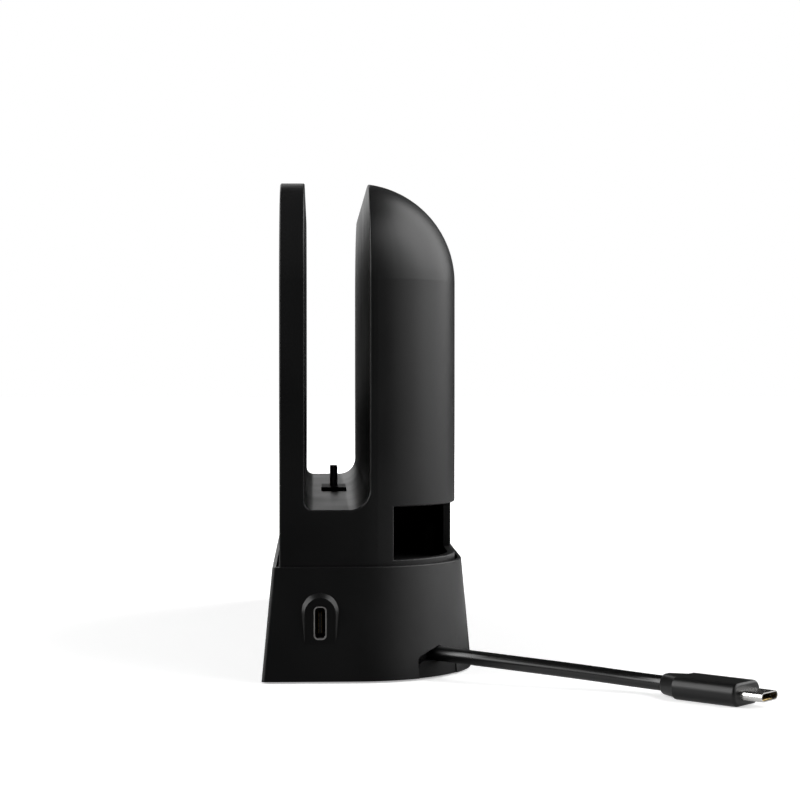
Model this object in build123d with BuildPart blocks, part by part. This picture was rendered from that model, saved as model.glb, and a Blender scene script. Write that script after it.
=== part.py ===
"""Handheld console dock seated in a tapered stand.

Millimetres, +Z up. The front faces -Y, the side with the cable window faces +X.
The origin is at the middle of the stand's footprint, on the surface it stands on.
"""

import os
from math import cos, pi, radians, sin, tan

from build123d import *

os.makedirs("parts", exist_ok=True)

# Dock body
dock_width = 201.0
dock_depth = 52.0
dock_height = 115.0
dock_radius = 29.8
crown_radius = 29.5
dock_wall = 2.2
edge_round = 0.5

# Console slot
panel_thickness = 7.2
slot_width = 18.6
slot_floor_height = 19.6
slot_front_fillet = 2.5
slot_rear_fillet = 6.0

# Cable window in the lower rear corner
window_front = 6.6
window_reach = 46.2
window_sill = 5.2
window_height = 15.1
window_round = 0.4

# Rear cover
cover_width = 100.0
cover_height = 66.0
cover_sill = 9.0
cover_thickness = 1.2
cover_ledge = 3.0
cover_corner = 5.0
cover_grip_radius = 8.0
cover_grip_depth = 0.6

# Stand
base_height = 32.1
base_flare = 3.0
base_wall = 2.2
front_corner = 1.0
rim_wall = 1.0
rim_gap = 0.95
rim_round = 0.3
recess_depth = 4.05
tray_thickness = 1.4
plate_thickness = 2.0

# Rubber feet
foot_stand = 0.5
foot_sink = 1.0
foot_radius = 5.0
foot_round = 0.3
stand_foot_inset = 14.5
stand_foot_y = 17.0
dock_foot_inset = 36.5
dock_foot_y = 14.5

# Screws and the posts that take them
screw_radius = 1.2
screw_length = 8.0
screw_head_radius = 2.5
screw_head_height = 1.2
screw_head_sink = 0.2
screw_gap = 0.1
screw_cross_length = 3.0
screw_cross_width = 0.7
screw_cross_depth = 0.7
post_radius = 3.2
post_bite = 0.6
dock_post_inset = 22.5
dock_post_inner = 30.0
rear_post_inset = 12.0
rear_post_height = 9.0
stand_post_inset = 28.5
stand_post_y = 19.0

# Card racks
card_slots = 4
card_pitch = 10.3
card_slot_width = 3.9
card_slot_height = 22.0
card_depth = 23.5
card_mouth_round = 0.4
card_group_x = -43.5
rack_wall = 1.2

# Side socket on its arched pad
port_y = -14.4
port_z = 16.95
port_length = 9.4
port_width = 3.6
port_corner = 1.3
port_shell_wall = 0.3
port_depth = 10.0
pad_half_width = 4.4
pad_slope = 1.25
pad_top = 24.1
pad_foot = 6.0
pad_fade_height = 11.0
pad_collar = 5.0

# Cable notch and captive cable
notch_angle = 44.0
notch_width = 16.0
notch_height = 6.5
notch_corner = 1.8
tongue_height = 4.7
tongue_inset = 0.1
tongue_foot_inset = 0.35
tongue_wall = 2.4
cable_diameter = 4.25
cable_height = 6.9
cable_straight = 12.0
grommet_length = 8.0
grommet_gap = 0.6
grommet_size = 8.5
cheek_wall = 1.6

# Cable plug
plug_collar_length = 6.1
plug_collar_start = 6.2
plug_collar_end = 12.0
plug_collar_height = 5.8
plug_collar_round = 0.8
plug_length = 19.5
plug_width = 13.4
plug_height = 6.3
plug_corner = 2.8
plug_start_round = 0.3
plug_end_round = 0.8
tip_length = 6.7
tip_width = 8.3
tip_height = 2.5
tip_corner = 1.2
tip_wall = 0.3
tip_core_depth = 4.6

# Boards and sockets
board_thickness = 1.2
board_standoff = 0.8
usb_height = 13.1
usb_width = 5.7
usb_depth = 14.0
usb_shell_wall = 0.35
usb_front_y = -17.0
usb_rear_y = -7.0
carrier_length = 20.0
carrier_width = 8.0
carrier_stand = 1.2
main_board_inset = 40.5
board_margin = 0.8
standoff_x = 50.0
standoff_reach = 8.5
standoff_radius = 2.5
port_board_x = -26.0
port_board_height = 52.0
port_socket_y = 13.0
power_socket_rise = 14.0
video_socket_rise = 26.0
video_socket_size = (15.2, 6.0, 11.8)
network_socket_rise = 43.0
network_socket_size = (16.0, 13.4, 18.0)
socket_wall = 0.5
tongue_thickness = 0.8
rib_wall = 1.2
rib_height = 4.0
rib_length = 16.0
link_board_length = 36.5
link_board_height = 23.0
link_rib_inset = 4.0
light_inset = 14.5
light_rise = 11.0
light_radius = 1.2
light_flange = 2.2
light_flange_thickness = 1.0

# Clearances
fit_gap = 0.2
seat_gap = 0.1

# Levels
skirt_bottom = foot_stand
rim_top = skirt_bottom + base_height
plate_top = skirt_bottom + plate_thickness
tray_top = rim_top - recess_depth
tray_under = tray_top - tray_thickness
dock_bottom = tray_top + foot_stand
dock_top = dock_bottom + dock_height
dock_plate_top = dock_bottom + plate_thickness
slot_floor = dock_bottom + slot_floor_height
board_bottom = dock_plate_top + board_standoff
board_top = board_bottom + board_thickness

# Stations along the dock's length, from its right side
dock_side = dock_width / 2
window_inner_end = dock_side - window_reach
stand_foot_x = dock_side - stand_foot_inset
dock_foot_x = dock_side - dock_foot_inset
dock_post_outer = dock_side - dock_post_inset
stand_post_x = dock_side - stand_post_inset
main_board_right = dock_side - main_board_inset
light_x = light_inset - dock_side

# Depth stations
dock_front = -dock_depth / 2
dock_rear = dock_depth / 2
slot_front = dock_front + panel_thickness
slot_rear = slot_front + slot_width
slot_middle = (slot_front + slot_rear) / 2
housing_split = slot_rear + dock_wall


def finish(part, name):
    """Label a finished piece and write it."""
    part.label = name
    export_step(part, f"parts/{name}.step")


def rounded_plan(width, depth, rear_corner, nose_corner, height):
    """Plan outline with two rear and two front corner radii, drawn at a height."""
    with BuildSketch(Plane.XY.offset(height)) as plan:
        Rectangle(width, depth)
        fillet(plan.vertices().group_by(Axis.Y)[-1], rear_corner)
        if nose_corner > 0:
            fillet(plan.vertices().group_by(Axis.Y)[0], nose_corner)
    return plan.sketch


def grown_plan(growth, nose_corner, height):
    """The dock's plan moved outward by growth, drawn at a height."""
    width = dock_width + 2 * growth
    depth = dock_depth + 2 * growth
    return rounded_plan(width, depth, dock_radius + growth, nose_corner, height)


def stand_plan(height, inset):
    """The stand's tapering plan at a height, drawn in by inset."""
    growth = rim_gap + rim_wall + base_flare * (rim_top - height) / base_height - inset
    return grown_plan(growth, max(front_corner - inset, 0), height)


def stand_form(inset, bottom, top):
    """Solid of the tapered stand between two heights, drawn in by inset."""
    with BuildPart() as form:
        add(stand_plan(bottom, inset))
        add(stand_plan(top, inset))
        loft()
    return form.part


def dock_form(inset):
    """The dock's rounded form, drawn in by inset everywhere but at its foot."""
    with BuildPart() as form:
        add(grown_plan(-inset, 0, dock_bottom))
        extrude(amount=dock_height - inset)
        crown = form.faces().sort_by(Axis.Z)[-1].edges()
        fillet(crown - crown.group_by(Axis.Y)[0], crown_radius - inset)
    return form.part


def slot_form(growth):
    """The console slot as a solid, with its walls and floor moved outward by growth."""
    width = slot_width + 2 * growth
    depth = dock_top - slot_floor + 2 * growth + edge_round
    with BuildPart() as form:
        with BuildSketch(Plane.YZ) as section:
            with Locations((slot_middle, slot_floor - growth)):
                Rectangle(width, depth, align=(Align.CENTER, Align.MIN))
            fillet(section.vertices().group_by(Axis.Y)[0].sort_by(Axis.X)[0], slot_front_fillet + growth)
            fillet(section.vertices().group_by(Axis.Y)[0].sort_by(Axis.X)[-1], slot_rear_fillet + growth)
        extrude(amount=dock_width, both=True)
    return form.part


def box_between(low, high):
    """A box given by two corners, added to the current part."""
    size = [b - a for a, b in zip(low, high)]
    with Locations(tuple(low)):
        Box(*size, align=(Align.MIN, Align.MIN, Align.MIN))


# Main dock shell, before it is parted into front and rear housings
outer_form = dock_form(0)
inner_form = dock_form(dock_wall)
middle_form = dock_form(dock_wall / 2).solid()
slot_cut = slot_form(0)
slot_skin = slot_form(dock_wall)
parting = Plane(origin=(0, housing_split, 0), x_dir=(1, 0, 0), z_dir=(0, 1, 0))

with BuildPart() as hollow:
    add(inner_form)
    add(slot_skin, mode=Mode.SUBTRACT)

with BuildPart() as dock_shell:
    add(outer_form)
    add(slot_cut, mode=Mode.SUBTRACT)
    slot_edges = dock_shell.edges(Select.NEW)
    wall_top = dock_top - crown_radius
    floor_seams = slot_edges.filter_by(Axis.X).filter_by_position(Axis.Z, dock_bottom, wall_top)
    fillet(slot_edges - floor_seams, edge_round)
    fillet(dock_shell.faces().sort_by(Axis.Y)[0].edges(), edge_round)
    add(hollow.part, mode=Mode.SUBTRACT)

# Screw places under the dock and under the stand
front_post_xs = (-dock_post_outer, -dock_post_inner, dock_post_inner, dock_post_outer)
front_posts = [(x, slot_middle) for x in front_post_xs]
rear_post_x = cover_width / 2 - rear_post_inset
rear_post_y = dock_rear - dock_wall - post_radius + post_bite
rear_posts = [(-rear_post_x, rear_post_y), (rear_post_x, rear_post_y)]
stand_posts = [(x, y) for x in (-stand_post_x, stand_post_x) for y in (-stand_post_y, stand_post_y)]
pilot_depth = screw_head_sink + screw_head_height + screw_length + screw_gap - plate_thickness


def posts(places, bottom, top):
    """Screw posts from bottom to top, added to the current part with their pilot holes."""
    with Locations(*[(x, y, bottom) for x, y in places]):
        Cylinder(post_radius, top - bottom, align=(Align.CENTER, Align.CENTER, Align.MIN))
    with Locations(*[(x, y, bottom) for x, y in places]):
        Cylinder(
            screw_radius + screw_gap,
            pilot_depth,
            align=(Align.CENTER, Align.CENTER, Align.MIN),
            mode=Mode.SUBTRACT,
        )


def screw_holes(places, face):
    """Counterbored holes drilled upward into the current part from its underside."""
    with Locations(*[Location((x, y, face), (180, 0, 0)) for x, y in places]):
        CounterBoreHole(
            screw_radius + screw_gap,
            screw_head_radius + screw_gap,
            screw_head_sink + screw_head_height,
        )


def foot_sockets(reach_x, reach_y, face):
    """Four shallow round seats for rubber feet, cut into the current part's underside."""
    with Locations((0, 0, face)):
        with GridLocations(2 * reach_x, 2 * reach_y, 2, 2):
            Cylinder(
                foot_radius + seat_gap,
                foot_sink,
                align=(Align.CENTER, Align.CENTER, Align.MIN),
                mode=Mode.SUBTRACT,
            )


def screw_group(places, face):
    """One cross-head screw for each place, head down in its counterbore."""
    with BuildPart() as group:
        for x, y in places:
            with BuildSketch(Plane.XZ.offset(-y)):
                with Locations((x, face + screw_head_sink)):
                    Rectangle(screw_head_radius, screw_head_height, align=(Align.MIN, Align.MIN))
                    Rectangle(screw_radius, screw_head_height + screw_length, align=(Align.MIN, Align.MIN))
            revolve(axis=Axis((x, y, 0), (0, 0, 1)))
        with Locations(*[(x, y, face + screw_head_sink) for x, y in places]):
            for size in ((screw_cross_length, screw_cross_width), (screw_cross_width, screw_cross_length)):
                Box(*size, 2 * screw_cross_depth, mode=Mode.SUBTRACT)
    return group.part


def foot_group(reach_x, reach_y, face):
    """Four rubber feet seated in the sockets of a plate whose underside is at face."""
    with BuildPart() as group:
        with Locations((0, 0, face - foot_stand)):
            with GridLocations(2 * reach_x, 2 * reach_y, 2, 2):
                Cylinder(foot_radius, foot_stand + foot_sink, align=(Align.CENTER, Align.CENTER, Align.MIN))
        fillet(group.edges().group_by(Axis.Z)[0], foot_round)
    return group.part


# Front housing: front panel, slot floor, slot rear wall and lower side walls
with BuildPart() as front_housing:
    add(dock_shell.part)
    split(bisect_by=parting, keep=Keep.BOTTOM)
    posts(front_posts, dock_plate_top, slot_floor - dock_wall / 2)
    with Locations((0, slot_middle, slot_floor)):
        Box(
            carrier_length + 2 * fit_gap,
            carrier_width + 2 * fit_gap,
            4 * dock_wall,
            mode=Mode.SUBTRACT,
        )
    for socket_y in (usb_front_y, usb_rear_y):
        with Locations((-dock_side, socket_y, board_top + usb_height / 2)):
            Box(4 * dock_wall, usb_width + 2 * fit_gap, usb_height + 2 * fit_gap, mode=Mode.SUBTRACT)
    with Locations(Location((light_x, dock_front, dock_bottom + light_rise), (90, 0, 0))):
        Cylinder(light_radius + seat_gap, 4 * dock_wall, mode=Mode.SUBTRACT)
finish(front_housing.part, "front_housing")

# Rear housing: rounded shell with the cable window and the seat of the rear cover
with BuildPart() as rear_housing:
    add(dock_shell.part)
    split(bisect_by=parting, keep=Keep.TOP)
    posts(rear_posts, dock_plate_top, dock_plate_top + rear_post_height)
    with Locations((window_inner_end, window_front, dock_bottom + window_sill)):
        Box(
            dock_width,
            dock_depth,
            window_height,
            align=(Align.MIN, Align.MIN, Align.MIN),
            mode=Mode.SUBTRACT,
        )
    cut_edges = rear_housing.edges(Select.NEW)
    fillet([edge for edge in cut_edges if not middle_form.is_inside(edge @ 0.5)], window_round)
    cover_plane = Plane(origin=(0, dock_rear, dock_bottom + cover_sill), x_dir=(-1, 0, 0), z_dir=(0, 1, 0))
    with BuildSketch(cover_plane):
        with Locations((0, cover_height / 2)):
            RectangleRounded(cover_width + 2 * fit_gap, cover_height + 2 * fit_gap, cover_corner + fit_gap)
    extrude(amount=-cover_thickness, mode=Mode.SUBTRACT)
    with BuildSketch(cover_plane):
        with Locations((0, cover_height / 2)):
            RectangleRounded(
                cover_width - 2 * cover_ledge, cover_height - 2 * cover_ledge, cover_corner - cover_ledge
            )
    extrude(amount=-2 * dock_wall, mode=Mode.SUBTRACT)
finish(rear_housing.part, "rear_housing")

# Rear cover: flush panel with a raised pad that drops into the opening and a shallow grip at its right end
with BuildPart() as rear_cover:
    with BuildSketch(cover_plane):
        with Locations((0, cover_height / 2)):
            RectangleRounded(cover_width, cover_height, cover_corner)
    extrude(amount=-cover_thickness)
    with BuildSketch(cover_plane.offset(-cover_thickness)):
        with Locations((0, cover_height / 2)):
            RectangleRounded(
                cover_width - 2 * cover_ledge - 2 * fit_gap,
                cover_height - 2 * cover_ledge - 2 * fit_gap,
                cover_corner - cover_ledge - fit_gap,
            )
    extrude(amount=-(dock_wall - cover_thickness))
    with BuildSketch(cover_plane):
        with Locations((-cover_width / 2, cover_height / 2)):
            Circle(cover_grip_radius)
    extrude(amount=-cover_grip_depth, mode=Mode.SUBTRACT)
finish(rear_cover.part, "rear_cover")

# Dock plate: closes the underside and carries the boards and the feet
with BuildPart() as dock_plate:
    add(grown_plan(-(dock_wall + fit_gap), 0, dock_bottom))
    extrude(amount=plate_thickness)
    with Locations((0, slot_middle, dock_plate_top)):
        with GridLocations(2 * standoff_x, 2 * standoff_reach, 2, 2):
            Cylinder(standoff_radius, board_standoff, align=(Align.CENTER, Align.CENTER, Align.MIN))
    for side in (-1, 1):
        rib_x = port_board_x - board_thickness / 2 + side * (board_thickness + rib_wall + 2 * seat_gap) / 2
        with Locations((rib_x, port_socket_y, dock_plate_top)):
            Box(rib_wall, rib_length, rib_height, align=(Align.CENTER, Align.CENTER, Align.MIN))
    screw_holes(front_posts + rear_posts, dock_bottom)
    foot_sockets(dock_foot_x, dock_foot_y, dock_bottom)
finish(dock_plate.part, "dock_plate")

finish(screw_group(front_posts + rear_posts, dock_bottom), "dock_screws")
finish(foot_group(dock_foot_x, dock_foot_y, dock_bottom), "dock_feet")

# Main board under the slot floor, with holes round the screw posts
board_left = dock_wall - dock_side + board_margin
board_front = dock_front + dock_wall + board_margin
with BuildPart() as main_board:
    with BuildSketch(Plane.XY.offset(board_bottom)):
        with Locations((board_left, board_front)):
            Rectangle(
                main_board_right - board_left,
                housing_split - board_margin - board_front,
                align=(Align.MIN, Align.MIN),
            )
        with Locations(*[(x, y) for x, y in front_posts if x < main_board_right]):
            Circle(post_radius + board_margin, mode=Mode.SUBTRACT)
    extrude(amount=board_thickness)
finish(main_board.part, "main_board")


def metal_tube(plane, length, width, corner, wall, depth):
    """Thin metal shell with rounded corners, extruded along the plane's normal."""
    with BuildPart() as tube:
        with BuildSketch(plane):
            RectangleRounded(length, width, corner)
            RectangleRounded(length - 2 * wall, width - 2 * wall, corner - wall, mode=Mode.SUBTRACT)
        extrude(amount=depth)
    return tube.part


# Upright plug in the slot floor: moulded carrier on the board, metal shell round its core
carrier_top = slot_floor + carrier_stand
tip_core_gap = tip_wall + seat_gap / 2
tip_core_size = (tip_width - 2 * tip_core_gap, tip_height - 2 * tip_core_gap, tip_corner - tip_core_gap)
with BuildPart() as plug_carrier:
    with Locations((0, slot_middle, board_top)):
        Box(
            carrier_length,
            carrier_width,
            carrier_top - board_top,
            align=(Align.CENTER, Align.CENTER, Align.MIN),
        )
    with BuildSketch(Plane.XY.offset(carrier_top)):
        with Locations((0, slot_middle)):
            RectangleRounded(*tip_core_size)
    extrude(amount=tip_length - tip_core_depth)
finish(plug_carrier.part, "plug_carrier")

console_plug = metal_tube(
    Plane(origin=(0, slot_middle, carrier_top)), tip_width, tip_height, tip_corner, tip_wall, tip_length
)
finish(console_plug, "console_plug")

# Data sockets in the left side wall, standing on the main board
usb_middle_z = board_top + usb_height / 2
for place, socket_y in (("front", usb_front_y), ("rear", usb_rear_y)):
    mouth = Plane(origin=(-dock_side, socket_y, usb_middle_z), x_dir=(0, 0, 1), z_dir=(-1, 0, 0))
    inner_height = usb_height - 2 * usb_shell_wall
    inner_width = usb_width - 2 * usb_shell_wall
    with BuildPart() as usb_shell:
        with BuildSketch(mouth):
            Rectangle(usb_height, usb_width)
            Rectangle(inner_height, inner_width, mode=Mode.SUBTRACT)
        extrude(amount=-usb_depth)
    finish(usb_shell.part, f"usb_socket_{place}")
    with BuildPart() as usb_insert:
        with BuildSketch(mouth.offset(-usb_depth)):
            Rectangle(inner_height - seat_gap, inner_width - seat_gap)
        extrude(amount=usb_depth / 3)
        with BuildSketch(mouth.offset(-usb_depth)):
            with Locations((0, inner_width / 5)):
                Rectangle(inner_height - 2 * socket_wall, 2 * tongue_thickness)
        extrude(amount=usb_depth - 2 * socket_wall)
    finish(usb_insert.part, f"usb_tongue_{place}")

# Port board standing on the dock plate, with three sockets that face the cable window
with BuildPart() as port_board:
    box_between(
        (port_board_x - board_thickness, housing_split + board_margin, dock_plate_top),
        (port_board_x, dock_rear - dock_wall - board_margin, dock_plate_top + port_board_height),
    )
finish(port_board.part, "port_board")


def port_plane(rise):
    """Plane on the port board's socket face, its X along the dock's depth and its Y up."""
    middle = (port_board_x, port_socket_y, dock_plate_top + rise)
    return Plane(origin=middle, x_dir=(0, 1, 0), z_dir=(1, 0, 0))


with BuildPart() as power_socket:
    face = port_plane(power_socket_rise)
    with BuildSketch(face):
        RectangleRounded(port_length, port_width, port_corner)
    extrude(amount=port_depth)
    with BuildSketch(face.offset(socket_wall)):
        RectangleRounded(
            port_length - 2 * port_shell_wall, port_width - 2 * port_shell_wall, port_corner - port_shell_wall
        )
    extrude(amount=port_depth, mode=Mode.SUBTRACT)
    with BuildSketch(face):
        Rectangle(port_length - port_width, tongue_thickness)
    extrude(amount=port_depth - 2 * socket_wall)
finish(power_socket.part, "power_socket")

with BuildPart() as video_socket:
    face = port_plane(video_socket_rise)
    video_width, video_height, video_depth = video_socket_size
    with BuildSketch(face) as video_outline:
        Rectangle(video_width, video_height)
        chamfer(video_outline.vertices().group_by(Axis.Y)[0], video_height / 3)
    extrude(amount=video_depth)
    with BuildSketch(face.offset(socket_wall)) as video_mouth:
        Rectangle(video_width - 2 * socket_wall, video_height - 2 * socket_wall)
        chamfer(video_mouth.vertices().group_by(Axis.Y)[0], video_height / 3)
    extrude(amount=video_depth, mode=Mode.SUBTRACT)
    with BuildSketch(face):
        Rectangle(video_width - video_height, 2 * tongue_thickness)
    extrude(amount=video_depth - 2 * socket_wall)
finish(video_socket.part, "video_socket")

with BuildPart() as network_socket:
    face = port_plane(network_socket_rise)
    network_width, network_height, network_depth = network_socket_size
    with BuildSketch(face):
        Rectangle(network_width, network_height)
    extrude(amount=network_depth)
    with BuildSketch(face.offset(network_depth)):
        with Locations((0, network_height / 10)):
            Rectangle(network_width * 0.74, network_height * 0.6)
        with Locations((0, -network_height / 4)):
            Rectangle(network_width * 0.4, network_height / 4)
    extrude(amount=-network_depth * 0.7, mode=Mode.SUBTRACT)
finish(network_socket.part, "network_socket")

# Status light: a clear pin with a flange behind the front skin
light_plane = Plane(origin=(light_x, dock_front, dock_bottom + light_rise), x_dir=(1, 0, 0), z_dir=(0, 1, 0))
with BuildPart() as status_light:
    with BuildSketch(light_plane):
        Circle(light_radius)
    extrude(amount=dock_wall)
    with BuildSketch(light_plane.offset(dock_wall)):
        Circle(light_flange)
    extrude(amount=light_flange_thickness)
finish(status_light.part, "status_light")

# Stand shell: tapered skirt with the rim, the tray, the arched pad, card slots and cable notch
rim_growth = rim_gap + rim_wall
pad_x = dock_side + rim_growth + base_flare * (rim_top - pad_fade_height) / base_height
rim_front = dock_front - rim_growth
card_places = [card_group_x + card_pitch * (i - (card_slots - 1) / 2) for i in range(card_slots)]
card_slot_top = tray_under - rack_wall
card_slot_bottom = card_slot_top - card_slot_height
pocket_end = rim_front + card_depth

corner_x = dock_side - dock_radius
corner_y = dock_depth / 2 - dock_radius
notch_radius = dock_radius + rim_growth + base_flare * (rim_top - cable_height) / base_height
notch_out = (cos(radians(notch_angle)), sin(radians(notch_angle)), 0)
notch_along = (-notch_out[1], notch_out[0], 0)
notch_plane = Plane(
    origin=(corner_x + notch_radius * notch_out[0], corner_y + notch_radius * notch_out[1], 0),
    x_dir=notch_along,
    z_dir=notch_out,
)


def skin_depth(point):
    """How far a point lies inside the skirt's front or rear face."""
    return base_flare * (rim_top - point.Z) / base_height - rim_front - abs(point.Y)


def arch(half_width, top, x):
    """Face of the arched pad: a half circle over straight legs, on a plane across X."""
    with BuildSketch(Plane.YZ.offset(x)) as face:
        with Locations((port_y, top - half_width)):
            Circle(half_width)
            Rectangle(2 * half_width, top - half_width - pad_foot, align=(Align.CENTER, Align.MAX))
    return face.sketch


def notch_face(gap, height):
    """Face of the cable notch up to a height, drawn in by gap at its ends, in its plane's own X and Y."""
    with BuildSketch() as face:
        with Locations((0, skirt_bottom)):
            Rectangle(notch_width - 2 * gap, height, align=(Align.CENTER, Align.MIN))
        fillet(face.vertices().group_by(Axis.Y)[-1], notch_corner)
    return face.sketch


outer_stand = stand_form(0, skirt_bottom, rim_top)
stand_cavity = stand_form(base_wall, skirt_bottom, tray_under)
notch_reach = 3 * base_wall
with BuildPart() as notch_cut:
    with BuildSketch(notch_plane):
        add(notch_face(0, notch_height))
        with Locations((0, cable_height)):
            Circle(cable_diameter / 2 + fit_gap)
        make_hull()
    extrude(amount=notch_reach, both=True)

with BuildPart() as stand_shell:
    add(outer_stand)
    fillet(stand_shell.faces().sort_by(Axis.Z)[-1].edges(), rim_round)
    add(stand_cavity, mode=Mode.SUBTRACT)
    add(grown_plan(rim_gap, 0, tray_top))
    extrude(amount=rim_top - tray_top, mode=Mode.SUBTRACT)
    posts(stand_posts, plate_top, tray_under + tray_thickness / 2)
    add(arch(pad_half_width, pad_top, pad_x))
    add(arch(pad_half_width + pad_slope, pad_top + pad_slope, pad_x - pad_slope))
    loft()
    add(arch(pad_half_width + pad_slope, pad_top + pad_slope, pad_x - pad_slope))
    extrude(amount=-(pad_collar - pad_slope), dir=(1, 0, 0))
    with BuildSketch(Plane.YZ.offset(pad_x)):
        with Locations((port_y, port_z)):
            RectangleRounded(port_width + 2 * seat_gap, port_length + 2 * seat_gap, port_corner + seat_gap)
    extrude(amount=-2 * pad_collar, mode=Mode.SUBTRACT)
    for slot_x in card_places:
        for wall_y in (rim_front, -rim_front):
            with Locations((slot_x, wall_y, card_slot_bottom)):
                Box(
                    card_slot_width,
                    4 * base_wall,
                    card_slot_height,
                    align=(Align.CENTER, Align.CENTER, Align.MIN),
                    mode=Mode.SUBTRACT,
                )
            cut_edges = stand_shell.edges(Select.NEW)
            fillet([edge for edge in cut_edges if skin_depth(edge @ 0.5) < base_wall / 2], card_mouth_round)
    add(notch_cut.part, mode=Mode.SUBTRACT)
finish(stand_shell.part, "stand_shell")

# Card racks behind the slots
rack_half = (card_pitch * (card_slots - 1) + card_slot_width) / 2 + rack_wall
rack_limit = stand_form(base_wall + seat_gap, plate_top, tray_under)
with BuildPart() as front_card_rack:
    box_between(
        (card_group_x - rack_half, rim_front - base_flare - base_wall, plate_top),
        (card_group_x + rack_half, pocket_end + rack_wall, tray_under),
    )
    add(rack_limit, mode=Mode.INTERSECT)
    for slot_x in card_places:
        with Locations((slot_x, pocket_end, card_slot_bottom)):
            Box(
                card_slot_width,
                2 * card_depth,
                card_slot_height,
                align=(Align.CENTER, Align.MAX, Align.MIN),
                mode=Mode.SUBTRACT,
            )
finish(front_card_rack.part, "front_card_rack")

with BuildPart() as rear_card_rack:
    add(mirror(front_card_rack.part, about=Plane.XZ, mode=Mode.PRIVATE))
finish(rear_card_rack.part, "rear_card_rack")

# Base plate with its tongue in the cable notch, the grommet's cheeks and the link board's ribs
grommet_face = tongue_inset + tongue_wall + grommet_gap
cheek_offset = (grommet_size + cheek_wall) / 2 + seat_gap
link_board_y = port_y + port_width / 2
link_board_right = pad_x - pad_collar - board_margin
link_board_left = link_board_right - link_board_length
link_middle_x = (link_board_left + link_board_right) / 2
saddle_radius = cable_diameter / 2 + fit_gap
plate_edge = base_wall + base_flare * plate_thickness / base_height + fit_gap
tongue_top = skirt_bottom + tongue_height

with BuildPart() as tongue_block:
    with BuildSketch(notch_plane):
        add(notch_face(fit_gap, tongue_height))
    extrude(amount=notch_reach, both=True)

with BuildPart() as tongue:
    add(stand_plan(skirt_bottom, tongue_foot_inset))
    add(stand_plan(tongue_top, tongue_inset))
    loft()
    add(stand_plan(tongue_top, tongue_inset + tongue_wall))
    extrude(amount=-tongue_height, mode=Mode.SUBTRACT)
    add(tongue_block.part, mode=Mode.INTERSECT)

with BuildPart() as base_plate:
    add(stand_plan(skirt_bottom, plate_edge))
    extrude(amount=plate_thickness)
    add(tongue.part)
    with BuildSketch(notch_plane):
        with Locations((0, cable_height)):
            Circle(saddle_radius)
    extrude(amount=notch_reach, both=True, mode=Mode.SUBTRACT)
    with BuildSketch(notch_plane.offset(-grommet_face)):
        with Locations((-cheek_offset, plate_top), (cheek_offset, plate_top)):
            Rectangle(cheek_wall, cable_height - plate_top, align=(Align.CENTER, Align.MIN))
    extrude(amount=-grommet_length)
    for side in (-1, 1):
        rib_y = link_board_y + board_thickness / 2 + side * (board_thickness + rib_wall + 2 * seat_gap) / 2
        with Locations((link_middle_x, rib_y, plate_top)):
            Box(
                link_board_length - 2 * link_rib_inset,
                rib_wall,
                rib_height,
                align=(Align.CENTER, Align.CENTER, Align.MIN),
            )
    screw_holes(stand_posts, skirt_bottom)
    foot_sockets(stand_foot_x, stand_foot_y, skirt_bottom)
finish(base_plate.part, "base_plate")

finish(screw_group(stand_posts, skirt_bottom), "base_screws")
finish(foot_group(stand_foot_x, stand_foot_y, skirt_bottom), "base_feet")

# Side socket and the board behind it
port_mouth = Plane(origin=(pad_x - port_depth, port_y, port_z), x_dir=(0, 0, 1), z_dir=(1, 0, 0))
side_socket_shell = metal_tube(port_mouth, port_length, port_width, port_corner, port_shell_wall, port_depth)
finish(side_socket_shell, "side_socket_shell")

core_gap = port_shell_wall + seat_gap / 2
with BuildPart() as side_socket_core:
    with BuildSketch(port_mouth):
        RectangleRounded(port_length - 2 * core_gap, port_width - 2 * core_gap, port_corner - core_gap)
    extrude(amount=port_depth / 3)
    with BuildSketch(port_mouth):
        Rectangle(port_length - port_width, tongue_thickness)
    extrude(amount=port_depth - 2 * socket_wall)
finish(side_socket_core.part, "side_socket_core")

with BuildPart() as link_board:
    box_between(
        (link_board_left, link_board_y, plate_top),
        (link_board_right, link_board_y + board_thickness, plate_top + link_board_height),
    )
finish(link_board.part, "link_board")

with BuildPart() as cable_grommet:
    with BuildSketch(notch_plane.offset(-grommet_face)):
        with Locations((0, plate_top)):
            Rectangle(grommet_size, 2 * (cable_height - plate_top), align=(Align.CENTER, Align.MIN))
    extrude(amount=-grommet_length)
finish(cable_grommet.part, "cable_grommet")

# Captive cable: out of the notch, down to the plug, which lies on the surface
cable_start = notch_plane.from_local_coords(Vector(0, cable_height, -grommet_face))
cable_route = [
    cable_start,
    cable_start + Vector(*notch_out) * cable_straight,
    Vector(109.6, 41.6, 5.9),
    Vector(116.7, 57.55, 4.7),
    Vector(124.54, 75.07, plug_height / 2),
    Vector(128.67, 79.42, plug_height / 2),
]
runs = [after - before for before, after in zip(cable_route, cable_route[1:])]
cable_radii = [
    0.45 * min(a.length, b.length) / tan(radians(a.get_angle(b) / 2)) for a, b in zip(runs, runs[1:])
]
print("cable bend radii", [round(radius, 1) for radius in cable_radii])
print("cable route", [tuple(round(value, 2) for value in point) for point in cable_route])

with BuildPart() as cable:
    with BuildLine() as cable_line:
        FilletPolyline(*cable_route, radius=cable_radii)
    with BuildSketch(Plane(origin=cable_start, z_dir=runs[0])):
        Circle(cable_diameter / 2)
    sweep(path=cable_line.wires()[0])
cable_length = cable_line.wires()[0].length
cable_volume = pi * cable_diameter**2 / 4 * cable_length
print("cable length", round(cable_length, 2), "volume ratio", round(cable.part.volume / cable_volume, 4))
finish(cable.part, "cable")

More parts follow.
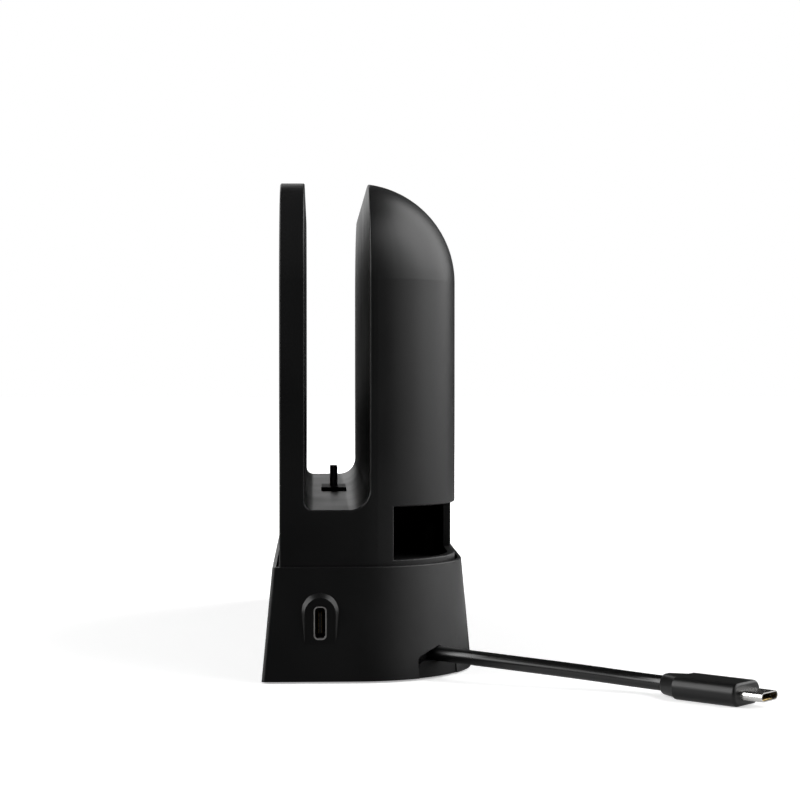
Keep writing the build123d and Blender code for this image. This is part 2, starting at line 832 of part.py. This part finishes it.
plug_plane = Plane(origin=cable_route[-1], x_dir=Vector(0, 0, 1).cross(runs[-1]), z_dir=runs[-1])
tip_plane = plug_plane.offset(plug_collar_length + plug_length)
with BuildPart() as plug_grip:
    with BuildSketch(plug_plane.offset(plug_collar_length)):
        RectangleRounded(plug_width, plug_height, plug_corner)
    extrude(amount=plug_length)
    plug_ends = plug_grip.faces().filter_by(GeomType.PLANE).sort_by(Axis(cable_route[-1], runs[-1]))
    fillet(plug_ends[0].edges(), plug_start_round)
    fillet(plug_ends[-1].edges(), plug_end_round)
    with BuildSketch(plug_plane):
        RectangleRounded(plug_collar_start, plug_collar_height, plug_corner)
    with BuildSketch(plug_plane.offset(plug_collar_length)):
        RectangleRounded(plug_collar_end, plug_collar_height, plug_corner)
    loft()
    collar_face = plug_grip.faces().sort_by(Axis(cable_route[-1], runs[-1]))[0]
    fillet(collar_face.edges(), plug_collar_round)
finish(plug_grip.part, "plug_grip")

finish(metal_tube(tip_plane, tip_width, tip_height, tip_corner, tip_wall, tip_length), "plug_tip")

with BuildPart() as plug_core:
    with BuildSketch(tip_plane):
        RectangleRounded(*tip_core_size)
    extrude(amount=tip_length - tip_core_depth)
finish(plug_core.part, "plug_core")
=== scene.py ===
# %% [markdown]
# # A handheld console dock on its stand
#
# The shapes of this dock come from a CAD model. This lesson gives them their looks in Blender:
# a camera, a cable that hangs like a cable, satin black plastics, bright metal and a plain white
# studio. Every length is in metres, and every piece stays in the CAD model's own frame.

import bpy
import numpy as np
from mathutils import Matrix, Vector


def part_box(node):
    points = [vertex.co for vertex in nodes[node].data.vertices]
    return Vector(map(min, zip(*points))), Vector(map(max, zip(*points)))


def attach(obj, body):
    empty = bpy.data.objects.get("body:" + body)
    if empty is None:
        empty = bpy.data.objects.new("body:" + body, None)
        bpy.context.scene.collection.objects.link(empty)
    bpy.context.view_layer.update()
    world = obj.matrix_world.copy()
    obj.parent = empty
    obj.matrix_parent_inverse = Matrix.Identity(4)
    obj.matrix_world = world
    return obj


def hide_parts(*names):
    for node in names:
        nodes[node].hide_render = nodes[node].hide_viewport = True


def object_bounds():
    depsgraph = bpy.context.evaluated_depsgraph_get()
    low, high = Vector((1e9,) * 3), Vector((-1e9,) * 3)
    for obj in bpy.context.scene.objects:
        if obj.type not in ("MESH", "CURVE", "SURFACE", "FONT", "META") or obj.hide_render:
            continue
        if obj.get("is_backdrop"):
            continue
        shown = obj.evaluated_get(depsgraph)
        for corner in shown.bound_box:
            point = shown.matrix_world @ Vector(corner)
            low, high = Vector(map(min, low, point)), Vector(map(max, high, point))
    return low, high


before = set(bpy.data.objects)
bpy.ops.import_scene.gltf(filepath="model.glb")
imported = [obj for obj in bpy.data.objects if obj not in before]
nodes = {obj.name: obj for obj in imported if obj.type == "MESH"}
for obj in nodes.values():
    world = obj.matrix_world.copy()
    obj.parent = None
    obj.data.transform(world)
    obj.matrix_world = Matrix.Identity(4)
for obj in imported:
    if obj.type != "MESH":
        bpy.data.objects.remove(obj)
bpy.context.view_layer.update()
scene = bpy.context.scene
scene.view_settings.view_transform = "Standard"

# %% [markdown]
# ## The camera
#
# A product picture like this one is taken from far away with a long lens, so that the upright
# edges stay upright. The camera could be placed by eye, but the stand gives better clues: its
# near and far edges meet at one point when they are drawn on, and that point is straight in
# front of the camera. From there the lens and the distance follow. The camera looks along the
# dock at its right side, a little from above, and turns slightly to set the dock left of centre.

# %% Camera
picture_width = 800
sensor_millimetres = 36.0
focal_pixels = 1954.3
camera_place = Vector((0.65579, -0.01621, 0.08801))
camera_direction = Vector((-1.0, 0.04423, -0.01451))

camera_data = bpy.data.cameras.new("camera")
camera_data.sensor_width = sensor_millimetres
camera_data.lens = focal_pixels / picture_width * sensor_millimetres
camera = bpy.data.objects.new("camera", camera_data)
camera.location = camera_place
camera.rotation_euler = camera_direction.to_track_quat("-Z", "Y").to_euler()
scene.collection.objects.link(camera)
scene.camera = camera
print("lens:", round(camera_data.lens, 1), "mm")

# %% [markdown]
# ## The captive cable
#
# A short cable comes out of the notch at the stand's corner and ends in a flat plug that lies on
# the table. A row of straight tubes would look like bent wire. A NURBS curve of order 3 is better:
# the route's points pull on it without holding it, so it sags in one smooth line, and a round
# bevel gives it its thickness. The order is set after the points are added, because before that
# Blender has too few points to accept it.

# %% Cable
millimetre = 0.001
cable_diameter = 0.00425
cable_route = [
    (93.04, 17.77, 6.9),
    (101.67, 26.11, 6.9),
    (109.6, 41.6, 5.9),
    (116.7, 57.55, 4.7),
    (124.54, 75.07, 3.15),
    (128.67, 79.42, 3.15),
]
route_points = np.array(cable_route) * millimetre

cable_curve = bpy.data.curves.new("captive_cable", "CURVE")
cable_curve.dimensions = "3D"
cable_curve.bevel_depth = 1.0
cable_curve.bevel_resolution = 8
cable_curve.resolution_u = 24
cable_curve.use_fill_caps = True
spline = cable_curve.splines.new("NURBS")
spline.points.add(len(route_points) - 1)
spline.points.foreach_set("co", np.c_[route_points, np.ones(len(route_points))].ravel())
spline.points.foreach_set("radius", np.full(len(route_points), cable_diameter / 2))
spline.order_u = 3
spline.use_endpoint_u = True
captive_cable = bpy.data.objects.new("captive_cable", cable_curve)
scene.collection.objects.link(captive_cable)
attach(captive_cable, "root")
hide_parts("cable")
print("cable points:", len(route_points))

# %% [markdown]
# ## Tools for the finishes
#
# No real surface is one flat colour. A moulded wall has a fine grain, and its gloss wanders a
# little from place to place. Such detail could be painted on pictures, but noise worked out by
# Blender needs no file and has the same scale everywhere. All patterns read Object coordinates,
# which here are plain metres, so a noise scale is one divided by the size of a speck.


# %% Finish tools
def new_finish(name):
    """Start a material. Returns it with its node tree, its shader and its Object coordinates."""
    material = bpy.data.materials.new(name)
    material.use_nodes = True
    tree = material.node_tree
    place = tree.nodes.new("ShaderNodeTexCoord").outputs["Object"]
    return material, tree, tree.nodes["Principled BSDF"], place


def speckle(tree, place, size, detail=2.0, stretch=(1.0, 1.0, 1.0)):
    """Soft noise from 0 to 1, its specks about size metres wide, longer where stretch is small."""
    mapping = tree.nodes.new("ShaderNodeMapping")
    mapping.inputs["Scale"].default_value = stretch
    tree.links.new(place, mapping.inputs["Vector"])
    noise = tree.nodes.new("ShaderNodeTexNoise")
    noise.inputs["Scale"].default_value = 1 / size
    noise.inputs["Detail"].default_value = detail
    tree.links.new(mapping.outputs["Vector"], noise.inputs["Vector"])
    return noise.outputs["Fac"]


def slope(tree, value, span, low=0.0, high=1.0):
    """Take a value from the span's two ends to low and high, and hold it there beyond them."""
    node = tree.nodes.new("ShaderNodeMapRange")
    node.inputs["From Min"].default_value, node.inputs["From Max"].default_value = span
    node.inputs["To Min"].default_value = low
    node.inputs["To Max"].default_value = high
    tree.links.new(value, node.inputs["Value"])
    return node.outputs["Result"]


def spread(tree, noise, low, high):
    """Take the middle of a noise, where most of it lies, to the range from low to high."""
    noise_middle = (0.3, 0.7)
    return slope(tree, noise, noise_middle, low, high)


def shades(tree, value, dark, light):
    """Colour between dark and light, chosen by a value from 0 to 1."""
    node = tree.nodes.new("ShaderNodeMix")
    node.data_type = "RGBA"
    node.inputs["A"].default_value = (*dark, 1.0)
    node.inputs["B"].default_value = (*light, 1.0)
    tree.links.new(value, node.inputs["Factor"])
    return node.outputs["Result"]


def grain(tree, height, depth):
    """Bump of that depth in metres from a height between 0 and 1."""
    node = tree.nodes.new("ShaderNodeBump")
    node.inputs["Strength"].default_value = 1.0
    node.inputs["Distance"].default_value = depth
    tree.links.new(height, node.inputs["Height"])
    return node.outputs["Normal"]


def give(material, *names):
    """Put a finish on CAD nodes by name."""
    for name in names:
        nodes[name].data.materials.clear()
        nodes[name].data.materials.append(material)
    print(material.name, "on", ", ".join(names))


# %% [markdown]
# ## Satin black plastic
#
# The dock and its stand are moulded in black plastic with a fine sparked grain from the mould.
# It looks black because it is nearly black all through, and satin because the grain scatters the
# little light that it mirrors. So the colour is very dark, the gloss is set low and broad, and a
# grain a quarter of a millimetre wide breaks it up. A slow noise lets the gloss wander, as it does
# where the mould's grain has worn. The base plate gets a duller copy of the stand's plastic as
# painted shade, for the shade that falls on its tongue in the cable notch.


# %% Moulded plastics
def moulded_plastic(name, dark, light, gloss, roughness, speck, depth):
    """Plastic between two colours, with a roughness range and a grain of that size and depth."""
    wander_size = 0.03
    material, tree, shader, place = new_finish(name)
    wander = speckle(tree, place, wander_size)
    fine = speckle(tree, place, speck, detail=3.0)
    tree.links.new(shades(tree, wander, dark, light), shader.inputs["Base Color"])
    tree.links.new(spread(tree, wander, *roughness), shader.inputs["Roughness"])
    tree.links.new(grain(tree, fine, depth), shader.inputs["Normal"])
    shader.inputs["Specular IOR Level"].default_value = gloss
    return material


stand_dark, stand_light = (0.0034, 0.0034, 0.0036), (0.0048, 0.0048, 0.005)
dock_black = moulded_plastic(
    "dock_black",
    dark=(0.004, 0.004, 0.0042),
    light=(0.0056, 0.0056, 0.0058),
    gloss=0.4,
    roughness=(0.36, 0.44),
    speck=0.00025,
    depth=0.000008,
)
stand_black = moulded_plastic(
    "stand_black",
    dark=stand_dark,
    light=stand_light,
    gloss=0.4,
    roughness=(0.36, 0.44),
    speck=0.0003,
    depth=0.00001,
)
# Painted shade: the stand's colours with less and broader gloss, so the base plate's tongue in the
# cable notch looks shaded.
shaded_plate_black = moulded_plastic(
    "shaded_plate_black",
    dark=stand_dark,
    light=stand_light,
    gloss=0.22,
    roughness=(0.42, 0.5),
    speck=0.0003,
    depth=0.00001,
)
give(dock_black, "front_housing", "rear_housing", "rear_cover", "dock_plate")
give(stand_black, "stand_shell", "front_card_rack", "rear_card_rack")
# The base plate takes the painted-shade copy of the stand's plastic.
give(shaded_plate_black, "base_plate")

# %% [markdown]
# ## Plug, jacket, rubber and insulators
#
# The other black parts differ in how they mirror, not in colour. The cable's jacket is drawn smooth,
# so its gloss is bright and narrow. The plug's grip lies between the jacket and the housings. Rubber
# feet scatter nearly all the light, and the insulators in the sockets are plain and dull. Each could
# have a recipe of its own, but the plastic above with other numbers gives all four.

# %% Smooth and dull blacks
smooth_dark, smooth_light = (0.003, 0.003, 0.0031), (0.004, 0.004, 0.0041)
plug_black = moulded_plastic(
    "plug_black",
    dark=smooth_dark,
    light=smooth_light,
    gloss=0.38,
    roughness=(0.32, 0.38),
    speck=0.0002,
    depth=0.000008,
)
jacket_black = moulded_plastic(
    "jacket_black",
    dark=smooth_dark,
    light=smooth_light,
    gloss=0.65,
    roughness=(0.24, 0.3),
    speck=0.0004,
    depth=0.000006,
)
rubber_black = moulded_plastic(
    "rubber_black",
    dark=(0.012, 0.012, 0.012),
    light=(0.02, 0.02, 0.02),
    gloss=0.2,
    roughness=(0.7, 0.85),
    speck=0.0002,
    depth=0.00002,
)
insulator_black = moulded_plastic(
    "insulator_black",
    dark=(0.004, 0.004, 0.004),
    light=(0.007, 0.007, 0.007),
    gloss=0.25,
    roughness=(0.5, 0.6),
    speck=0.00015,
    depth=0.000005,
)
captive_cable.data.materials.append(jacket_black)
give(plug_black, "plug_grip")
give(rubber_black, "base_feet", "dock_feet", "cable_grommet")
give(insulator_black, "plug_carrier", "plug_core", "side_socket_core", "network_socket")
give(insulator_black, "usb_tongue_front", "usb_tongue_rear")

# %% [markdown]
# ## Metal shells and screws
#
# The plug's tip and the sockets are drawn from thin nickel-plated sheet, bright on the tip and satin
# in the sockets. A grey plastic would pass for it from afar, but metal has no colour of its own under
# the shine, so the shader is fully metallic. The drawing marks are a noise that is stretched along
# the dock.


# %% Metals
def drawn_metal(name, dark, light, roughness, speck, depth):
    """Metal between two colours, with marks about eight times as long as they are wide."""
    along_dock = (0.12, 1.0, 1.0)
    material, tree, shader, place = new_finish(name)
    marks = speckle(tree, place, speck, detail=3.0, stretch=along_dock)
    tree.links.new(shades(tree, marks, dark, light), shader.inputs["Base Color"])
    tree.links.new(spread(tree, marks, *roughness), shader.inputs["Roughness"])
    tree.links.new(grain(tree, marks, depth), shader.inputs["Normal"])
    shader.inputs["Metallic"].default_value = 1.0
    return material


nickel = drawn_metal(
    "nickel",
    dark=(0.68, 0.67, 0.65),
    light=(0.8, 0.79, 0.77),
    roughness=(0.18, 0.3),
    speck=0.0003,
    depth=0.000002,
)
satin_nickel = drawn_metal(
    "satin_nickel",
    dark=(0.62, 0.61, 0.6),
    light=(0.74, 0.73, 0.71),
    roughness=(0.46, 0.6),
    speck=0.0003,
    depth=0.000004,
)
blackened_steel = drawn_metal(
    "blackened_steel",
    dark=(0.08, 0.08, 0.085),
    light=(0.14, 0.14, 0.145),
    roughness=(0.3, 0.45),
    speck=0.0004,
    depth=0.000004,
)
give(nickel, "plug_tip")
give(satin_nickel, "console_plug", "side_socket_shell", "power_socket", "video_socket")
give(satin_nickel, "usb_socket_front", "usb_socket_rear")
give(blackened_steel, "dock_screws", "base_screws")

# %% [markdown]
# ## Tools for the contacts
#
# In every socket and plug a row of thin gold-plated contacts makes the connection: on both faces of
# a tongue, or along the inner walls of a plug's tip. They could be cut out of one plate, but each is
# a bar of its own on the real thing, so a whole row is worked out at once: one cross-section,
# carried straight along, and repeated at the pitch.


# %% Contact tools
def contact_row(first, run, step, lift, count, width, thickness):
    """Vertices and faces of a row of flat bars.

    The cross-section is width / 2 times the root of |cos v| along the step and thickness / 2 times
    the root of |sin v| along the lift, with the signs of cosine and sine. It runs straight from
    u = 0 at the first point to u = 1 at the end of the run, and bar k is moved by k steps.
    """
    first, run, step, lift = (np.array(vector, dtype=float) for vector in (first, run, step, lift))
    rings, sides = 2, 16
    across = step / np.linalg.norm(step)
    turn = np.sign(np.cross(across, lift) @ run)
    v = turn * np.linspace(0.0, 2 * np.pi, sides, endpoint=False)
    wide = width / 2 * np.sign(np.cos(v)) * np.sqrt(np.abs(np.cos(v)))
    high = thickness / 2 * np.sign(np.sin(v)) * np.sqrt(np.abs(np.sin(v)))
    section = wide[:, None] * across + high[:, None] * lift
    u = np.linspace(0.0, 1.0, rings)[:, None, None]
    k = np.arange(count)[:, None, None, None]
    points = first + k * step + u * run + section
    index = np.arange(points.size // 3).reshape(count, rings, sides)
    beside = np.roll(index, -1, axis=2)
    walls = np.stack([index[:, :-1], beside[:, :-1], beside[:, 1:], index[:, 1:]], axis=-1)
    ends = np.concatenate([index[:, 0, ::-1], index[:, -1]])
    return points.reshape(-1, 3), walls.reshape(-1, 4), ends


def contact_piece(name, *rows):
    """One mesh of several contact rows, which rides with the dock."""
    starts = np.cumsum([0] + [len(points) for points, walls, ends in rows])
    faces = []
    for start, (points, walls, ends) in zip(starts, rows):
        faces += (walls + start).tolist() + (ends + start).tolist()
    mesh = bpy.data.meshes.new(name)
    mesh.from_pydata(np.concatenate([points for points, walls, ends in rows]).tolist(), [], faces)
    mesh.materials.append(contact_gold)
    piece = bpy.data.objects.new(name, mesh)
    scene.collection.objects.link(piece)
    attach(piece, "root")
    print(name, "faces:", len(faces))


contact_thickness = 0.0002
contact_gold = drawn_metal(
    "contact_gold",
    dark=(0.6, 0.43, 0.17),
    light=(0.74, 0.55, 0.24),
    roughness=(0.22, 0.36),
    speck=0.0002,
    depth=0.000001,
)

# %% [markdown]
# ## Contacts of the data sockets
#
# Each of the two sockets in the left wall has a tongue with four broad contacts on one face. Their
# place could be typed in, but it is read from the tongue's box, so they stay on the tongue wherever
# the CAD model puts it.

# %% Data socket contacts
data_count = 4
data_pitch = 0.0025
data_width = 0.0012
data_length = 0.006
data_end_margin = 0.0005
data_face_offset = 0.00015
data_half_row = (data_count - 1) / 2 * data_pitch
for which in ("front", "rear"):
    low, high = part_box(f"usb_tongue_{which}")
    middle = (Vector(low) + Vector(high)) / 2
    inner_end = low[0] + data_end_margin + data_length
    data_row = contact_row(
        first=(inner_end, middle.y + data_face_offset, middle.z - data_half_row),
        run=(-data_length, 0, 0),
        step=(0, 0, data_pitch),
        lift=(0, -1, 0),
        count=data_count,
        width=data_width,
        thickness=contact_thickness,
    )
    contact_piece(f"usb_contacts_{which}", data_row)

# %% [markdown]
# ## Contacts of the small plugs and the side socket
#
# The side socket, the cable's plug and the upright plug in the slot share one small pattern: two
# rows of twelve, face to face. So one helper could place all three, but they lie along three
# different directions, and it is easier to follow when each gives its own first point, run and step.

# %% Side socket contacts
small_count = 12
small_pitch = 0.0005
small_width = 0.0003
small_length = 0.0035
small_half_row = (small_count - 1) / 2 * small_pitch
small_form = {"count": small_count, "width": small_width, "thickness": contact_thickness}
both_faces = (-1, 1)

socket_tongue_half = 0.0004
socket_end_margin = 0.0006
low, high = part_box("side_socket_core")
middle = (Vector(low) + Vector(high)) / 2
socket_start = high[0] - socket_end_margin - small_length
socket_rows = [
    contact_row(
        first=(socket_start, middle.y + face * socket_tongue_half, middle.z - small_half_row),
        run=(small_length, 0, 0),
        step=(0, 0, small_pitch),
        lift=(0, face, 0),
        **small_form,
    )
    for face in both_faces
]
contact_piece("side_socket_contacts", *socket_rows)

# %% Plug contacts
tip_inner_half = 0.0009
core_depth = 0.0021
plug_reach = 0.0256
up = np.array((0, 0, 1))
forward = route_points[-1] - route_points[-2]
forward /= np.linalg.norm(forward)
sideways = np.cross(up, forward)
core_face = route_points[-1] + (plug_reach + core_depth) * forward
plug_rows = [
    contact_row(
        first=core_face + face * tip_inner_half * up - small_half_row * sideways,
        run=small_length * forward,
        step=small_pitch * sideways,
        lift=-face * up,
        **small_form,
    )
    for face in both_faces
]
contact_piece("plug_contacts", *plug_rows)

# %% Upright plug contacts
low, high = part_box("console_plug")
middle = (Vector(low) + Vector(high)) / 2
console_rows = [
    contact_row(
        first=(middle.x - small_half_row, middle.y + face * tip_inner_half, low[2] + core_depth),
        run=(0, 0, small_length),
        step=(small_pitch, 0, 0),
        lift=(0, -face, 0),
        **small_form,
    )
    for face in both_faces
]
contact_piece("console_plug_contacts", *console_rows)

# %% [markdown]
# ## Boards and the status light
#
# The circuit boards sit deep inside and show only through the cable window and the sockets. They
# are glass laminate under a green lacquer. A plain green would do at that size, but a weave in the
# gloss keeps them from looking like card. The status light is a short pin of frosted clear plastic.
# It could be made of glass, but frosted plastic that is off is simply a hazy grey.

# %% Boards and light
lacquer, tree, shader, place = new_finish("board_lacquer")
weave = speckle(tree, place, size=0.0008, detail=1.0, stretch=(1.0, 0.2, 1.0))
green = shades(tree, weave, dark=(0.006, 0.035, 0.016), light=(0.012, 0.06, 0.028))
tree.links.new(green, shader.inputs["Base Color"])
tree.links.new(spread(tree, weave, low=0.25, high=0.4), shader.inputs["Roughness"])
tree.links.new(grain(tree, weave, depth=0.00001), shader.inputs["Normal"])
give(lacquer, "main_board", "port_board", "link_board")

frosted, tree, shader, place = new_finish("frosted_clear")
haze = speckle(tree, place, size=0.0002)
grey = shades(tree, haze, dark=(0.28, 0.29, 0.28), light=(0.36, 0.37, 0.36))
tree.links.new(grey, shader.inputs["Base Color"])
tree.links.new(spread(tree, haze, low=0.3, high=0.45), shader.inputs["Roughness"])
tree.links.new(grain(tree, haze, depth=0.000006), shader.inputs["Normal"])
give(frosted, "status_light")

# %% [markdown]
# ## The studio
#
# The floor is white paper and the backdrop behind the dock is white too. If strong lamps made that
# white, they would shine on the black plastic as well. Instead the paper and the backdrop glow by
# themselves, but only for rays that show them: straight from the camera, or mirrored where white
# may show in the plastic. A photographer hides the rest of the table under black card, because a
# black surface shows what stands before it. The tools below say which rays show white.


# %% Studio tools
def join(tree, operation, first, second):
    """Two values put together by a math operation."""
    node = tree.nodes.new("ShaderNodeMath")
    node.operation = operation
    tree.links.new(first, node.inputs[0])
    tree.links.new(second, node.inputs[1])
    return node.outputs["Value"]


def showing_rays(tree, white_share):
    """1 for camera rays, and the white share for mirrored and refracted rays."""
    path = tree.nodes.new("ShaderNodeLightPath")
    glossy, refracted = path.outputs["Is Glossy Ray"], path.outputs["Is Transmission Ray"]
    mirrored = join(tree, "MAXIMUM", glossy, refracted)
    mirrored = join(tree, "MULTIPLY", mirrored, white_share)
    return join(tree, "MAXIMUM", path.outputs["Is Camera Ray"], mirrored)


# %% [markdown]
# ## The floor
#
# Mirrored rays meet white paper in two places: under the cable, where it lights the plug from below,
# and beside the long sides and past the left end, where it keeps those walls readable. Elsewhere they
# meet dark card. Each place has soft edges, because a hard edge would show as a line in the gloss.
# The paper also takes the lamps' light, so the dock's shadow stays on it, and it glows more with
# distance, so the shadow fades out.

# %% Floor
floor_reach = 6.0
floor_mesh = bpy.data.meshes.new("floor")
corners = floor_reach * np.array([(-1, -1, 0), (1, -1, 0), (1, 1, 0), (-1, 1, 0)], dtype=float)
floor_mesh.from_pydata(corners.tolist(), [], [(0, 1, 2, 3)])
floor = bpy.data.objects.new("floor", floor_mesh)
scene.collection.objects.link(floor)
floor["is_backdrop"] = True
print("floor:", 2 * floor_reach, "m wide")

# %% Paper
paper = bpy.data.materials.new("white_paper")
paper.use_nodes = True
tree = paper.node_tree
tree.nodes.clear()
place = tree.nodes.new("ShaderNodeTexCoord").outputs["Object"]
axes = tree.nodes.new("ShaderNodeSeparateXYZ")
distance = tree.nodes.new("ShaderNodeVectorMath")
distance.operation = "LENGTH"
tree.links.new(place, axes.inputs["Vector"])
tree.links.new(place, distance.inputs[0])
x, y, away = axes.outputs["X"], axes.outputs["Y"], distance.outputs["Value"]

cable_white = 0.5
in_front = slope(tree, x, (0.09, 0.115))
beside = slope(tree, y, (0.015, 0.035))
nearby = slope(tree, away, (0.26, 0.2), high=cable_white)
under_cable = join(tree, "MULTIPLY", join(tree, "MULTIPLY", in_front, beside), nearby)

side_white = 0.65
behind = slope(tree, y, (0.05, 0.12))
ahead = slope(tree, y, (-0.05, -0.12))
along = slope(tree, x, (0.13, 0.04))
left_end = slope(tree, x, (-0.11, -0.14))
not_far = slope(tree, away, (0.7, 0.2), high=side_white)
long_sides = join(tree, "MULTIPLY", join(tree, "MAXIMUM", behind, ahead), along)
around = join(tree, "MULTIPLY", join(tree, "MAXIMUM", long_sides, left_end), not_far)
shown = showing_rays(tree, join(tree, "MAXIMUM", under_cable, around))

card_grey, paper_grey = 0.04, 0.85
share = slope(tree, away, (0.1, 0.6), low=0.4)
glow = tree.nodes.new("ShaderNodeEmission")
tree.links.new(join(tree, "MULTIPLY", share, shown), glow.inputs["Strength"])
lit = tree.nodes.new("ShaderNodeBsdfDiffuse")
tree.links.new(slope(tree, shown, (0.0, 1.0), card_grey, paper_grey), lit.inputs["Color"])
both = tree.nodes.new("ShaderNodeAddShader")
output = tree.nodes.new("ShaderNodeOutputMaterial")
tree.links.new(lit.outputs["BSDF"], both.inputs[0])
tree.links.new(glow.outputs["Emission"], both.inputs[1])
tree.links.new(both.outputs["Shader"], output.inputs["Surface"])
floor_mesh.materials.append(paper)
print("mirrored white:", cable_white, "under the cable,", side_white, "beside the dock")

# %% [markdown]
# ## The backdrop
#
# The backdrop is the world itself: white for the camera, and nearly dark for the plastic. A curved
# sheet of paper could stand there, but the world needs no edge and no shadow. Only mirrored rays
# that go almost straight back meet some of its white, which draws the thin pale line along edges
# that are seen at a grazing angle.

# %% Backdrop
world = bpy.data.worlds.new("studio")
scene.world = world
world.use_nodes = True
tree = world.node_tree
room_level = 0.02
backdrop_white = 0.25
straight_back = (-0.985, -1.0)
direction = tree.nodes.new("ShaderNodeSeparateXYZ")
sight = tree.nodes.new("ShaderNodeTexCoord").outputs["Generated"]
tree.links.new(sight, direction.inputs["Vector"])
shown = showing_rays(tree, slope(tree, direction.outputs["X"], straight_back, high=backdrop_white))
background = tree.nodes["Background"]
background.inputs["Color"].default_value = (1.0, 1.0, 1.0, 1.0)
tree.links.new(slope(tree, shown, (0.0, 1.0), low=room_level), background.inputs["Strength"])
print("room level:", room_level)

# %% [markdown]
# ## The lamps
#
# A black surface shows its lamps rather than its colour. Small lamps would make hard white spots, so
# these are large, and their glow has soft edges on the dock. The right lamp runs along the rounded
# wall and over the dome, and the corner lamp carries that glow round towards the camera. The left
# lamp and the low lamp draw the front edges and the cable, and a weak rear lamp keeps the far side
# readable.


# %% Lamps
def soft_lamp(name, place, width, height, radiance):
    """Area lamp of that radiance that faces the dock. Its power is pi times area times radiance."""
    data = bpy.data.lights.new(name, "AREA")
    data.shape = "RECTANGLE"
    data.size = width
    data.size_y = height
    data.energy = np.pi * width * height * radiance
    lamp = bpy.data.objects.new(name, data)
    lamp.location = place
    lamp.rotation_euler = (lamp_target - Vector(place)).to_track_quat("-Z", "Y").to_euler()
    scene.collection.objects.link(lamp)
    print(name, round(data.energy, 1), "W")


lamp_target = Vector((0.0, 0.0, 0.08))
soft_lamp("right_lamp", (-0.27, 1.17, 0.79), width=1.65, height=1.6, radiance=2.65)
soft_lamp("corner_lamp", (0.5, 1.1, 0.82), width=1.2, height=1.6, radiance=1.7)
soft_lamp("rear_lamp", (-1.25, -0.35, 0.55), width=0.8, height=0.7, radiance=1.2)
soft_lamp("left_lamp", (0.0, -1.2, 0.72), width=1.3, height=1.3, radiance=4.2)
soft_lamp("low_lamp", (0.73, -0.87, 0.42), width=0.8, height=0.5, radiance=2.8)

# %% [markdown]
# ## Measure and finish
#
# Dressing must not change the dock's size. The box of the dressed model is printed.

# %% Measure and finish
bpy.context.view_layer.update()
low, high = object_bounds()
print("visual box:", tuple(low), tuple(high))
